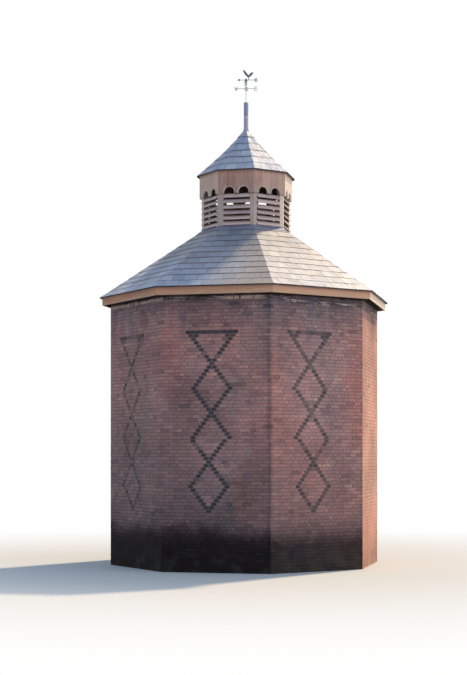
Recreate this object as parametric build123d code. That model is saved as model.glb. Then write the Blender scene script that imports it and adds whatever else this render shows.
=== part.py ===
from build123d import *
from math import cos, radians, sin, tan
import os

# An octagonal brick dovecote: eight walls, a slated roof, a louvred lantern with arched
# flight holes under a roof of its own, and a weathervane that turns on a fixed spindle.
# Millimetres, +Z up, with the origin on the ground in the middle of the octagon.
# The front wall faces -Y, and the other faces follow anticlockwise seen from above.
# An apothem is the distance from the middle of the octagon square to one of its sides.

face_names = [
    "front", "front_right", "right", "back_right",
    "back", "back_left", "left", "front_left",
]

# Walls and floor
wall_apothem = 2916
wall_thickness = 330
wall_height = 6140
floor_height = 60

# Doorway with its frame and plank door, in the back wall
doorway_width = 840
doorway_height = 1860
lintel_height = 150
lintel_bearing = 150
frame_width = 70
frame_depth = 90
frame_setback = 100
stop_width = 15
stop_depth = 30
leaf_thickness = 32
leaf_clearance = 3
strap_length = 480
strap_height = 45
strap_thickness = 6
strap_inset = 260

# Main roof
roof_pitch = 36
eaves_overhang = 229
roof_covering = 20
plate_width = 100
plate_height = 75
plate_setback = 50
birdsmouth = 30
rafter_depth = 100
rafter_width = 50
rafter_spacing = 520
hip_width = 60
fascia_projection = 177
fascia_thickness = 25
fascia_depth = 195
timber_joint = 2

# Lantern curb, lead apron, corner posts and louvres
lantern_apothem = 963
curb_thickness = 100
curb_drop = 20
curb_upstand = 20
apron_reach = 100
apron_thickness = 6
post_face = 92
post_depth = 110
louvre_count = 6
louvre_pitch = 125
louvre_width = 130
louvre_thickness = 18
louvre_tilt = 45
louvre_lip = 45

# Arched flight boards, two holes in each
board_thickness = 50
board_height = 560
board_lap = 3
hole_width = 228
hole_height = 145
hole_spacing = 335
head_thickness = 100
head_height = 150

# Lantern roof and finial
lantern_pitch = 44.5
lantern_upper_pitch = 50
bell_apothem = 460
lantern_overhang = 58
lantern_covering = 18
lantern_hip_width = 50
lantern_hip_depth = 75
finial_apothem = 45
finial_height = 650
finial_tail = 250
lead_thickness = 5
saddle_reach = 145
saddle_flare = 24
saddle_rise = 55
saddle_height = 324
cap_dome = 14

# Weathervane
spindle_radius = 8
spindle_tang = 200
spindle_fit = 0.2
arms_height = 335
arms_turn = 12
arm_reach = 262
arm_bar = 11
hub_radius = 30
hub_height = 70
sleeve_radius = 18
sleeve_foot_radius = 14
boss_radius = 32
boss_height = 100
sleeve_bore_clearance = 0.5
sleeve_gap = 12
sleeve_cap = 16
sleeve_rest_gap = 0.3
arrow_rise = 202
arrow_bar = 10
arrow_collar_radius = 27
arrow_collar_height = 26
arrow_front_reach = 215
arrow_back_reach = 275
arrow_plate = 5
pointer_length = 70
pointer_height = 62
tail_length = 95
tail_height = 84
tail_notch = 34
bird_offset = 59
bird_leg = 60
bird_leg_width = 16
bird_plate = 6

# Values worked out from the sizes above
turn = 360 / len(face_names)
half_turn = radians(turn / 2)
roof_slope = tan(radians(roof_pitch))
rafter_drop = rafter_depth / cos(radians(roof_pitch))
covering_rise = roof_covering / cos(radians(roof_pitch))
wall_inner = wall_apothem - wall_thickness
plate_outer = wall_apothem - plate_setback
plate_top = wall_height + plate_height
eaves_apothem = wall_apothem + eaves_overhang
fascia_outer = wall_apothem + fascia_projection
fascia_inner = fascia_outer - fascia_thickness


def roof_under(apothem):
    """Height of the underside of the main roof covering."""
    return plate_top - birdsmouth + rafter_drop + (plate_outer - apothem) * roof_slope


def roof_top(apothem):
    """Height of the top of the main roof covering."""
    return roof_under(apothem) + covering_rise


covering_top = roof_top(lantern_apothem)
curb_top = covering_top + curb_upstand
louvre_rise = louvre_width * sin(radians(louvre_tilt))
louvre_run = louvre_width * cos(radians(louvre_tilt))
louvre_edge_rise = louvre_thickness * cos(radians(louvre_tilt))
louvre_edge_run = louvre_thickness * sin(radians(louvre_tilt))
louvre_outer = lantern_apothem + louvre_lip
louvre_top = curb_top + (louvre_count - 1) * louvre_pitch + louvre_rise + louvre_edge_rise
board_bottom = louvre_top - board_lap
board_outer = lantern_apothem + board_thickness
lantern_slope = tan(radians(lantern_pitch))
lantern_upper_slope = tan(radians(lantern_upper_pitch))
lantern_rise = lantern_covering / cos(radians(lantern_pitch))
lantern_eaves = board_outer + lantern_overhang


def lantern_under(apothem):
    """Height of the underside of the lantern roof covering, which is steeper above its bell."""
    lower = board_outer - max(apothem, bell_apothem)
    upper = bell_apothem - min(apothem, bell_apothem)
    return board_bottom + board_height + lower * lantern_slope + upper * lantern_upper_slope


def lantern_top(apothem):
    """Height of the top of the lantern roof covering."""
    return lantern_under(apothem) + lantern_rise


head_top = lantern_under(lantern_apothem)
head_bottom = head_top - head_height
finial_foot = lantern_top(finial_apothem)
finial_top = finial_foot + finial_height
lead_outer = finial_apothem + lead_thickness
saddle_top = finial_foot + saddle_height
cap_top = finial_top + lead_thickness
arms_level = finial_top + arms_height
arrow_level = arms_level + arrow_rise
boss_top = arrow_level - arrow_collar_height / 2
sleeve_bottom = arms_level + hub_height / 2 + sleeve_gap
sleeve_top = arrow_level + arrow_collar_height / 2 + sleeve_cap
spindle_top = sleeve_top - sleeve_cap - sleeve_rest_gap


def sector(joint):
    """Everything in front of the middle within one side's share of the octagon."""
    reach = 2 * eaves_apothem
    tip = joint / 2 / sin(half_turn)
    spread = reach * tan(half_turn) - joint / 2 / cos(half_turn)
    plan = Polygon((0, -tip), (-spread, -reach), (spread, -reach), align=None)
    return extrude(plan, 2 * arrow_level)


def mitred(section, joint=0):
    """A front piece from its section in apothem and height, cut to the mitres of the octagon."""
    width = 2 * max(apothem for apothem, _ in section) * tan(half_turn)
    outline = Polyline(*[(0, -apothem, height) for apothem, height in section], close=True)
    bar = extrude(make_face(outline), width / 2, dir=(1, 0, 0), both=True)
    return bar & sector(joint)


def around(piece, index):
    """A front piece turned to another side of the octagon."""
    return piece.rotate(Axis.Z, index * turn)


def group(pieces):
    """Pieces that share one node."""
    return Compound([solid for piece in pieces for solid in piece.solids()])


def every_side(piece):
    """A front piece repeated on all the sides as separate solids."""
    return group([around(piece, index) for index in range(len(face_names))])


def ring(section):
    """One closed octagonal ring from its section."""
    whole = mitred(section)
    for index in range(1, len(face_names)):
        whole += around(mitred(section), index)
    return whole


def octagon(apothem, bottom, top):
    """An upright octagonal block."""
    plan = RegularPolygon(apothem, len(face_names), major_radius=False, rotation=turn / 2)
    return Pos(0, 0, bottom) * extrude(plan, top - bottom)


def block(x_low, x_high, apothem_low, apothem_high, bottom, top):
    """A square block on the front side."""
    size = (x_high - x_low, apothem_high - apothem_low, top - bottom)
    middle = ((x_low + x_high) / 2, -(apothem_low + apothem_high) / 2, (bottom + top) / 2)
    return Pos(*middle) * Box(*size)


def upright_rod(radius, bottom, top):
    """A round rod on the vertical axis."""
    return Pos(0, 0, (bottom + top) / 2) * Cylinder(radius, top - bottom)


def wall():
    """One wall of the octagon in full thickness, mitred at the arrises."""
    return mitred([
        (wall_inner, 0), (wall_apothem, 0), (wall_apothem, wall_height), (wall_inner, wall_height),
    ])


def doorway():
    """The hole for the door frame and the threshold."""
    half = doorway_width / 2
    return block(-half, half, wall_inner, wall_apothem, 0, doorway_height)


def lintel():
    """An oak lintel that bears on the brickwork each side of the doorway."""
    half = doorway_width / 2 + lintel_bearing
    return block(-half, half, wall_inner, wall_apothem, doorway_height, doorway_height + lintel_height)


def threshold():
    """A stone threshold the full depth of the doorway."""
    half = doorway_width / 2
    return block(-half, half, wall_inner, wall_apothem, 0, floor_height)


frame_outer = wall_apothem - frame_setback
frame_inner = frame_outer - frame_depth
stop_face = frame_inner + stop_depth
leaf_half = doorway_width / 2 - frame_width - leaf_clearance
leaf_top = doorway_height - frame_width - leaf_clearance
leaf_bottom = floor_height + leaf_clearance


def door_frame():
    """Two jambs and a head with a rebate that stops the door."""
    half = doorway_width / 2
    recess = half - frame_width
    clear = recess - stop_width
    recess_top = doorway_height - frame_width
    frame = block(-half, half, frame_inner, frame_outer, floor_height, doorway_height)
    frame -= block(-recess, recess, stop_face, frame_outer, floor_height, recess_top)
    frame -= block(-clear, clear, frame_inner, stop_face, floor_height, recess_top - stop_width)
    return frame


def door_leaf():
    """The shut door, flat against its stops."""
    return block(-leaf_half, leaf_half, stop_face, stop_face + leaf_thickness, leaf_bottom, leaf_top)


def door_straps():
    """Two iron strap hinges flat on the door."""
    face = stop_face + leaf_thickness
    straps = []
    for middle in (leaf_bottom + strap_inset, leaf_top - strap_inset):
        low = middle - strap_height / 2
        straps.append(block(
            -leaf_half, strap_length - leaf_half, face, face + strap_thickness, low, low + strap_height,
        ))
    return straps


def rafter_layer(joint=0):
    """The depth of the rafters under one roof slope, from the fascia to the lantern curb."""
    return mitred([
        (lantern_apothem, roof_under(lantern_apothem) - rafter_drop),
        (fascia_inner, roof_under(fascia_inner) - rafter_drop),
        (fascia_inner, roof_under(fascia_inner)),
        (lantern_apothem, roof_under(lantern_apothem)),
    ], joint)


def wall_plate():
    """One timber of the wall plate, bedded on the wall head."""
    return mitred([
        (plate_outer - plate_width, wall_height), (plate_outer, wall_height),
        (plate_outer, plate_top), (plate_outer - plate_width, plate_top),
    ], timber_joint)


def plate_seat():
    """The notch that the plate makes in rafters and hips."""
    return mitred([
        (plate_outer - plate_width, wall_height), (plate_outer, wall_height),
        (plate_outer, plate_top), (plate_outer - plate_width, plate_top),
    ])


def side_rafters():
    """The middle rafter and the jacks of one slope, birdsmouthed over the wall plate."""
    layer = rafter_layer(hip_width) - plate_seat()
    count = int(fascia_inner * tan(half_turn) / rafter_spacing)
    rafters = []
    for place in range(-count, count + 1):
        middle = place * rafter_spacing
        low = middle - rafter_width / 2
        rafters.append(layer & block(low, low + rafter_width, 0, eaves_apothem, 0, finial_top))
    return group(rafters)


def hip_rafter():
    """The hip between the front slope and the next, backed to both slopes."""
    layers = rafter_layer() + around(rafter_layer(), 1)
    seats = plate_seat() + around(plate_seat(), 1)
    plank = block(-hip_width / 2, hip_width / 2, 0, 2 * eaves_apothem, 0, finial_top)
    return (layers - seats) & plank.rotate(Axis.Z, turn / 2)


def fascia_board():
    """One fascia board, bevelled under the slates and closing the rafter feet."""
    foot = roof_under(fascia_outer) - fascia_depth
    return mitred([
        (fascia_inner, foot), (fascia_outer, foot),
        (fascia_outer, roof_under(fascia_outer)), (fascia_inner, roof_under(fascia_inner)),
    ], timber_joint)


def roof_slope_covering():
    """The slates and battens of one slope as one sheet, cut plumb at the eaves."""
    return mitred([
        (lantern_apothem, roof_under(lantern_apothem)), (eaves_apothem, roof_under(eaves_apothem)),
        (eaves_apothem, roof_top(eaves_apothem)), (lantern_apothem, covering_top),
    ])


def curb_timber():
    """One timber of the curb that the rafters butt and the lantern stands on."""
    bottom = roof_under(lantern_apothem) - rafter_drop - curb_drop
    return mitred([
        (lantern_apothem - curb_thickness, bottom), (lantern_apothem, bottom),
        (lantern_apothem, curb_top), (lantern_apothem - curb_thickness, curb_top),
    ], timber_joint)


def apron_sheet():
    """Lead dressed up the curb and over the top course of slates at the foot of the lantern."""
    reach = lantern_apothem + apron_reach
    upstand = lantern_apothem + apron_thickness
    rise = apron_thickness / cos(radians(roof_pitch))
    return mitred([
        (lantern_apothem, covering_top), (reach, roof_top(reach)), (reach, roof_top(reach) + rise),
        (upstand, roof_top(upstand) + rise), (upstand, curb_top), (lantern_apothem, curb_top),
    ], timber_joint)


def corner_post():
    """The five-sided lantern post between the front and the next side."""
    side_x = lantern_apothem * tan(half_turn) - post_face
    inner = lantern_apothem - post_depth
    corner = (lantern_apothem * tan(half_turn), -lantern_apothem)
    near = [(side_x, -inner), (side_x, -lantern_apothem)]
    mirror_line = Plane(origin=(0, 0, 0), x_dir=(0, 0, 1), z_dir=(cos(half_turn), sin(half_turn), 0))
    far = [Vector(x, y, 0) for x, y in reversed(near)]
    far = [point - mirror_line.z_dir * 2 * point.dot(mirror_line.z_dir) for point in far]
    plan = Polygon(*near, corner, *[(point.X, point.Y) for point in far], align=None)
    return Pos(0, 0, curb_top) * extrude(plan, head_bottom - curb_top)


def louvres():
    """The tilted slats of one side, housed between two posts with their lips standing out."""
    half = lantern_apothem * tan(half_turn) - post_face
    lip = louvre_outer - louvre_edge_run
    slats = []
    for place in range(louvre_count):
        level = curb_top + place * louvre_pitch
        outline = Polyline(
            (0, -lip, level),
            (0, -(lip - louvre_run), level + louvre_rise),
            (0, -(lip - louvre_run + louvre_edge_run), level + louvre_rise + louvre_edge_rise),
            (0, -louvre_outer, level + louvre_edge_rise),
            close=True,
        )
        slats.append(extrude(make_face(outline), half, dir=(1, 0, 0), both=True))
    return group(slats)


def flight_hole(middle):
    """A round-topped hole that is open at the foot of the board."""
    radius = hole_width / 2
    spring = board_bottom + hole_height - radius
    low = block(
        middle - radius, middle + radius, lantern_apothem, board_outer, board_bottom, spring,
    )
    depth = board_thickness
    arch = Pos(middle, -(lantern_apothem + depth / 2), spring) * Rot(90, 0, 0) * Cylinder(radius, depth)
    return low + arch


def flight_board():
    """One board of the lantern with its two arched holes, bevelled under the roof."""
    board = mitred([
        (lantern_apothem, board_bottom), (board_outer, board_bottom),
        (board_outer, lantern_under(board_outer)), (lantern_apothem, head_top),
    ])
    for side in (-1, 1):
        board -= flight_hole(side * hole_spacing / 2)
    return board


def head_timber():
    """One timber of the lantern head, on the posts and behind the boards."""
    inner = lantern_apothem - head_thickness
    return mitred([
        (inner, head_bottom), (lantern_apothem, head_bottom),
        (lantern_apothem, head_top), (inner, head_top),
    ], timber_joint)


def lantern_hip():
    """A small hip from the lantern head up to the finial post."""
    drop = lantern_hip_depth / cos(radians(lantern_pitch))
    layer = mitred([
        (finial_apothem, lantern_under(finial_apothem) - drop),
        (bell_apothem, lantern_under(bell_apothem) - drop),
        (lantern_apothem, head_top - drop),
        (lantern_apothem, head_top),
        (bell_apothem, lantern_under(bell_apothem)),
        (finial_apothem, lantern_under(finial_apothem)),
    ])
    half = lantern_hip_width / 2
    plank = block(-half, half, 0, lantern_eaves, head_top, finial_top)
    return (layer + around(layer, 1)) & plank.rotate(Axis.Z, turn / 2)


def lantern_slope_covering():
    """One slope of the lantern roof, up to the finial post, with a bell where its pitch changes."""
    return mitred([
        (finial_apothem, lantern_under(finial_apothem)), (bell_apothem, lantern_under(bell_apothem)),
        (lantern_eaves, lantern_under(lantern_eaves)), (lantern_eaves, lantern_top(lantern_eaves)),
        (bell_apothem, lantern_top(bell_apothem)), (finial_apothem, finial_foot),
    ], timber_joint)


def finial_post():
    """The octagonal post on the roof, bored for the spindle."""
    post = octagon(finial_apothem, lantern_under(finial_apothem) - finial_tail, finial_top)
    return post - upright_rod(spindle_radius + spindle_fit, finial_top - spindle_tang, finial_top)


def lead_saddle():
    """Lead over the top of the hips, flared up the foot of the post."""
    reach = finial_apothem + saddle_reach
    flare = lead_outer + saddle_flare
    rise = lead_thickness / cos(radians(lantern_upper_pitch))
    return ring([
        (finial_apothem, finial_foot), (reach, lantern_top(reach)),
        (reach, lantern_top(reach) + rise), (flare, lantern_top(flare) + rise),
        (lead_outer, finial_foot + saddle_rise), (lead_outer, saddle_top),
        (finial_apothem, saddle_top),
    ])


def lead_cap():
    """The upper lead sleeve of the post, closed by a low domed top."""
    sleeve = octagon(lead_outer, saddle_top, finial_top) - octagon(finial_apothem, saddle_top, finial_top)
    ball = (lead_outer ** 2 + cap_dome ** 2) / (2 * cap_dome)
    dome = Pos(0, 0, cap_top + cap_dome - ball) * Sphere(ball)
    top = octagon(lead_outer, finial_top, cap_top + cap_dome) & dome
    whole = sleeve + top
    return whole - upright_rod(spindle_radius + spindle_fit, finial_top, cap_top + cap_dome)


def spindle():
    """The iron rod that stands in the post and carries the vane on its tip."""
    return upright_rod(spindle_radius, finial_top - spindle_tang, spindle_top)


def cardinal_arms():
    """A hub on the spindle with four square arms for the compass letters."""
    arms = upright_rod(hub_radius, arms_level - hub_height / 2, arms_level + hub_height / 2)
    for quarter in range(4):
        arm = Pos(arm_reach / 2, 0, arms_level) * Box(arm_reach, arm_bar, arm_bar)
        arms += arm.rotate(Axis.Z, quarter * 90)
    arms -= upright_rod(spindle_radius + spindle_fit, arms_level - hub_height, arms_level + hub_height)
    return arms.rotate(Axis.Z, arms_turn)


def vane_sleeve():
    """A tube, closed at the top, that turns on the spindle and widens to a boss under the arrow."""
    outline = Polyline(
        (0, 0, sleeve_bottom), (sleeve_foot_radius, 0, sleeve_bottom),
        (sleeve_foot_radius, 0, boss_top - boss_height), (boss_radius, 0, boss_top),
        (sleeve_radius, 0, boss_top), (sleeve_radius, 0, sleeve_top), (0, 0, sleeve_top),
        close=True,
    )
    return revolve(make_face(outline), Axis.Z) - upright_rod(
        spindle_radius + sleeve_bore_clearance, sleeve_bottom, sleeve_top - sleeve_cap,
    )


def upright_plate(points, thickness):
    """A flat plate in the plane of the vane from points along the arrow and up."""
    outline = Polyline(*[(along, 0, level) for along, level in points], close=True)
    return extrude(make_face(outline), thickness / 2, dir=(0, 1, 0), both=True)


def vane_arrow():
    """The bar of the vane with its pointer, its notched tail and the collar on the sleeve."""
    length = arrow_front_reach + arrow_back_reach - pointer_length
    start = pointer_length - arrow_front_reach
    arrow = Pos(start + length / 2, 0, arrow_level) * Box(length, arrow_bar, arrow_bar)
    arrow += upright_plate([
        (-arrow_front_reach, arrow_level),
        (start, arrow_level - pointer_height / 2), (start, arrow_level + pointer_height / 2),
    ], arrow_plate)
    tail = arrow_back_reach - tail_length
    arrow += upright_plate([
        (tail, arrow_level),
        (tail + tail_notch, arrow_level - tail_height / 2),
        (arrow_back_reach, arrow_level - tail_height / 2),
        (arrow_back_reach - tail_notch, arrow_level),
        (arrow_back_reach, arrow_level + tail_height / 2),
        (tail + tail_notch, arrow_level + tail_height / 2),
    ], arrow_plate)
    low = arrow_level - arrow_collar_height / 2
    high = arrow_level + arrow_collar_height / 2
    arrow += upright_rod(arrow_collar_radius, low, high)
    arrow -= upright_rod(sleeve_radius + spindle_fit, low, high)
    return arrow.rotate(Axis.Z, arms_turn)


def vane_bird():
    """A flying bird with raised wings, cut from plate, on a short leg on the arrow."""
    edge = [
        ThreePointArc((0, -14), (-78, 56), (-130, 158)),
        Line((-130, 158), (-106, 172)),
        ThreePointArc((-106, 172), (-47, 102), (0, 40)),
        ThreePointArc((0, 40), (37, 88), (90, 120)),
        Line((90, 120), (110, 96)),
        ThreePointArc((110, 96), (66, 41), (0, -14)),
    ]
    upright = Plane(origin=(0, bird_plate / 2, 0), x_dir=(1, 0, 0), z_dir=(0, -1, 0))
    plate = extrude(upright * make_face(Wire(edge)), bird_plate)
    foot = arrow_level + arrow_bar / 2
    leg = Pos(bird_offset, 0, foot + bird_leg / 2) * Box(bird_leg_width, bird_plate, bird_leg)
    bird = Pos(bird_offset, 0, foot + bird_leg) * plate + leg
    return bird.rotate(Axis.Z, arms_turn)


nodes = {}
for index, name in enumerate(face_names):
    nodes["wall_" + name] = around(wall(), index)
    nodes["roof_" + name] = around(roof_slope_covering(), index)
    nodes["flight_board_" + name] = around(flight_board(), index)

back = face_names.index("back")
nodes["wall_back"] = around(wall() - doorway() - lintel(), back)
nodes["door_lintel"] = around(lintel(), back)
nodes["door_threshold"] = around(threshold(), back)
nodes["door_frame"] = around(door_frame(), back)
nodes["door_leaf"] = around(door_leaf(), back)
nodes["door_straps"] = around(group(door_straps()), back)
nodes["ground_floor"] = octagon(wall_inner, 0, floor_height)
nodes["wall_plate"] = every_side(wall_plate())
nodes["rafters"] = every_side(side_rafters())
nodes["hip_rafters"] = every_side(hip_rafter())
nodes["eaves_fascia"] = every_side(fascia_board())
nodes["lantern_curb"] = every_side(curb_timber())
nodes["lantern_apron"] = every_side(apron_sheet())
nodes["lantern_posts"] = every_side(corner_post())
nodes["lantern_louvres"] = every_side(louvres())
nodes["lantern_head"] = every_side(head_timber())
nodes["lantern_hips"] = every_side(lantern_hip())
nodes["lantern_roof"] = every_side(lantern_slope_covering())
nodes["finial_post"] = finial_post()
nodes["lead_saddle"] = lead_saddle()
nodes["lead_cap"] = lead_cap()
nodes["vane_spindle"] = spindle()
nodes["cardinal_arms"] = cardinal_arms()
nodes["vane_sleeve"] = vane_sleeve()
nodes["vane_arrow"] = vane_arrow()
nodes["vane_bird"] = vane_bird()

os.makedirs("parts", exist_ok=True)
for name, shape in nodes.items():
    export_step(shape, f"parts/{name}.step")
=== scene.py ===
import math
import random

import bpy
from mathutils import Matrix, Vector


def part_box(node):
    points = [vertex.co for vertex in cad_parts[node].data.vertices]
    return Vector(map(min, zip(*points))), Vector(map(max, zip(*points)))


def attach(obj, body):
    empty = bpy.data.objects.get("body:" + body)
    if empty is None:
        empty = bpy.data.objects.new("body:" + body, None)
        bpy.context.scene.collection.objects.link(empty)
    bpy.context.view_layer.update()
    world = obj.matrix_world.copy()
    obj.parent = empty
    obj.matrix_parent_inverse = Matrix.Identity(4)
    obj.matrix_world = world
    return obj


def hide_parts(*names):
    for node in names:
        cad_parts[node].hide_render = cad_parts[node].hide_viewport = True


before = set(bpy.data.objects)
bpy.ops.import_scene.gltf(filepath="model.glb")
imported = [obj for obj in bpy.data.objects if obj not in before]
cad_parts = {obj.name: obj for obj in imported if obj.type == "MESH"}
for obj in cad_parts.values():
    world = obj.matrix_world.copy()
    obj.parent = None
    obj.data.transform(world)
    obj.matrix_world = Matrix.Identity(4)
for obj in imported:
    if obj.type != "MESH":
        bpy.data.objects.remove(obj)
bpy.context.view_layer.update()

# An octagonal brick dovecote. Every side is made on the front, facing -Y, and turned to its place.
# Metres, +Z up. An apothem is the distance from the middle of the octagon square to a side.

# The sides, anticlockwise seen from above
SIDES = [
    "front", "front_right", "right", "back_right",
    "back", "back_left", "left", "front_left",
]
FRONT, BACK, FRONT_LEFT = SIDES.index("front"), SIDES.index("back"), SIDES.index("front_left")
TURN = 2 * math.pi / len(SIDES)
SPREAD = math.tan(TURN / 2)

# Seeds of the random draws, to which a piece of one side adds the number of that side
SEEDS = {
    "wall": 200, "roof": 400, "lantern_roof": 500, "fascia": 61,
    "planks": 70, "louvres": 81, "posts": 91, "door": 33,
}
QUOIN_SEED = 1000

# Sizes read from the frame
wall_low, wall_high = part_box("wall_front")
WALL_OUTER = -wall_low.y
WALL_INNER = -wall_high.y
WALL_HEIGHT = wall_high.z
roof_low, roof_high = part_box("roof_front")
EAVES_OUTER = -roof_low.y
LANTERN_OUTER = -roof_high.y
ROOF_TOP = roof_high.z
CURB_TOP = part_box("lantern_curb")[1].z
fascia_low, fascia_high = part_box("eaves_fascia")
board_low, board_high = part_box("flight_board_front")
BOARD_OUTER = -board_low.y
BOARD_FOOT = board_low.z
lantern_low, lantern_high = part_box("lantern_roof")
post_low, post_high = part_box("lantern_posts")
finial_low, finial_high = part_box("finial_post")
lintel_low, lintel_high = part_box("door_lintel")
threshold_low, threshold_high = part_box("door_threshold")
leaf_low, leaf_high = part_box("door_leaf")
strap_low, strap_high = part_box("door_straps")
arms_low, arms_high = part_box("cardinal_arms")
LEAD_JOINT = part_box("lead_cap")[0].z

# Brickwork, measured along a wall in quarters of a brick
QUARTERS = 42
QUARTER = 2 * WALL_OUTER * SPREAD / QUARTERS
COURSE = 0.0752
JOINT = 0.010
PROUD = 0.005
BRICK_DEPTH = 0.016
WORN_EDGE, EDGE_DRIFT, EDGE_SLOPE = 0.004, 0.001, 0.6
END_DRIFT, CORNER_DRIFT, SET_BACK = 0.0012, (0.0015, 0.0018), 0.0025
HEADER_GAP = 0.0115

# Cost of each size of brick in a course, with luck, the same size again and a joint over a joint
BRICK_COST = {4: 0.0, 2: 0.05, 3: 1.6, 1: 2.6}
LUCK_COST, REPEAT_COST, JOINT_COST = 0.25, 0.9, 4.0
JOINT_NEAR = 0.7
SHORTEST = 0.4

# How dark burnt headers are, less where the weather has dulled them, and odd dark bricks elsewhere
BURNT = {"front_left": (0.18, 0.92), "front_right": (0.62, 0.94)}
BURNT_ELSEWHERE = (0.86, 1.0)
PALE_HEADERS, PALE_HEADER = 0.08, 0.55
ODD_BRICKS, ODD_BRICK = 0.022, (0.15, 0.4)
BARELY_BURNT = 0.25
BRICK_TONE = (0.5, 0.13)

# Diamonds of burnt headers: courses of the bar and of each crossing, and where their middle lies
BAR_COURSE = 68
BAR_REACH = 9
DIAMOND_REACH = 7
DIAMONDS = 3
PATTERN_MIDDLES = {
    "front": (19.5, 19.3, 18.3, 18.3), "front_right": (17.3, 18, 19, 19), "front_left": (18, 18, 18, 19),
    "left": (21, 21, 22, 22), "back_right": (22, 21, 21, 20),
    "back_left": (20, 20, 21, 21), "back": (21, 21, 21, 21),
}

# For each side: the shade of its wall, from 0, painted sunlit and dry, to 1, painted shade, damp and dark,
# and how far sunlight is painted on the lantern's timber and the roof's slates, paler and warmer, with some
# bleaching
SHADE = [1.0, 0.95, 0.0, 0.35, 0.45, 0.6, 0.9, 1.0]
SUNLIT_BLEACH = [0.0, 0.12, 1.0, 0.20, 0.05, 0.0, 0.30, 0.5]
SLATE_SUNLIT = [0.95, 0.40, 0.5, 0.6, 0.5, 0.3, 0.1, 0.0]

# Patches on the walls: side, place and height, half width and half height, share and tint
RED, DARK, MOSSY = (1.28, 0.94, 0.84), (0.52, 0.56, 0.58), (0.84, 0.98, 0.92)
WARM, PALE = (1.36, 1.24, 1.14), (1.30, 1.36, 1.30)
BROWN, EAVES_SHADOW = (0.92, 0.86, 0.76), (0.50, 0.48, 0.58)
WALL_STEP = 10.0
STAINS = [
    ("front", (-1.02, 4.8), (0.36, 0.85), 0.70, RED), ("front", (-0.60, 3.75), (0.50, 0.45), 0.50, DARK),
    ("front", (0.62, 3.80), (0.70, 1.15), 0.60, PALE), ("front", (0.85, 1.90), (0.60, 0.60), 0.50, DARK),
    ("front", (0.62, 5.00), (0.60, 0.60), 0.75, WARM),
    ("front_right", (0.05, 4.30), (0.55, 1.20), 0.50, PALE),
    ("front_right", (-1.08, 4.4), (0.30, 0.90), 0.60, RED),
    ("front_right", (0.10, 4.0), (0.55, 0.50), 0.20, RED),
    ("front_right", (1.12, 3.9), (0.35, 1.60), 0.75, RED),
    ("front_right", (0.70, 2.1), (0.65, 0.75), 0.72, DARK),
    ("front_left", (0.10, 4.2), (1.00, 1.50), 0.80, BROWN),
    ("back", (-0.75, 3.6), (0.55, 0.90), 0.60, MOSSY),
    # EAVES_SHADOW is painted shade below the eaves on the right wall
    ("right", (0.35, 5.90), (1.20, 0.60), 0.90, EAVES_SHADOW), ("left", (0.40, 4.2), (0.70, 0.80), 0.70, DARK),
    ("back_left", (-0.40, 3.0), (0.60, 1.00), 0.60, RED),
]

# Top of the wall: painted black shadow and soot behind the eaves board, broken lime below it, and a buff
# patch on the front
SOFFIT_DARK = fascia_low.z - 0.028
LIME_LOW = fascia_low.z - 0.115
BUFF_SPAN = (0.18, 1.08)

# Roofs
ROOF_PITCH = math.radians(36)
LANTERN_PITCH = math.radians(44.5)
LANTERN_UPPER_PITCH = math.radians(50)
BELL_APOTHEM = 0.46
LANTERN_COVERING = 0.018
SLATE_GAUGE, SLATE_WIDTH = 0.2525, 0.275
LANTERN_GAUGE, LANTERN_SLATE_WIDTH = 0.262, 0.24
SLATE_THICKNESS, THICKNESS_DRIFT = 0.006, 0.0012
SLATE_LAP = 0.07
SLATE_GAP = 0.006
UNDER_EAVES_LENGTH, UNDER_EAVES_DROP = 0.8, 1.05
WIDTH_DRIFT, TAIL_DRIFT, LIFT_DRIFT = 0.08, 0.008, 0.0015
TAIL_EDGE = 0.012
SLATE_TONE, GRAIN_SPREAD = (0.5, 0.23), (7.0, 3.0)
# Painted sunlight on the slates: its edge across the front slope, along the lantern's shadow, and its share
# on the lantern
SUNLIT_EDGE, SUNLIT_SLANT, SUNLIT_FADE, SUNLIT_DRIFT = 0.35, 0.27, 0.9, 0.12
LANTERN_SUNLIT = 0.05
UNDERLAY_TOP = -2.4 * SLATE_THICKNESS
EAVES_REACH = 0.2
FILLET_WIDTH = 0.04
FASCIA_THICKNESS = 0.025
MITRE_GAP = 0.001

# Lantern timber
LOUVRES = 6
LOUVRE_PITCH = 0.125
LOUVRE_WIDTH = 0.130
LOUVRE_THICKNESS = 0.018
LOUVRE_TILT, TILT_DRIFT = math.radians(45), 1.2
LOUVRE_LIP = 0.045
POST_FACE = 0.092
POST_DEPTH = 0.110
HOLE_RADIUS = 0.114
HOLE_HEIGHT = 0.145
HOLE_MIDDLE = 0.1675
ARCH_STEPS = 22
RIM_WIDTH, RIM_DEPTH = 0.024, 0.012
PLANKS = 4
PLANK_GAP = 0.003
CLEARANCE, FACE_DRIFT = 0.001, 0.0015
PLANK_SET_BACK = 0.002
GRAIN_SEED = 9.0

# Door planks, and nails on its straps: rings as shares of the radius and how far they stand out
DOOR_PLANKS, DOOR_GAP = 5, 0.004
NAILS, NAIL_STEP, NAIL_END = 5, 0.095, 0.05
STRAP_HALF = 0.0225
NAIL_SIDES, NAIL_RADIUS = 8, 0.011
NAIL_RINGS = ((0.35, 0.005), (0.8, 0.0035), (1.0, 0.0))

# Compass letters as lines through points, with sizes
LETTERS = {
    "N": [[(0, 0), (0, 1), (1, 0), (1, 1)]],
    "E": [[(1, 0), (0, 0), (0, 1), (1, 1)], [(0, 0.5), (0.75, 0.5)]],
    "S": [[
        (0, 0.12), (0.3, 0), (0.75, 0), (1, 0.25), (0.7, 0.5),
        (0.3, 0.5), (0, 0.75), (0.25, 1), (0.7, 1), (1, 0.88),
    ]],
    "W": [[(0, 1), (0.25, 0), (0.5, 0.7), (0.75, 0), (1, 1)]],
}
LETTER_HEIGHT, LETTER_WIDTH, STROKE, LETTER_DEPTH = 0.082, 0.062, 0.014, 0.006
STROKE_OVERLAP = 0.35

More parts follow.
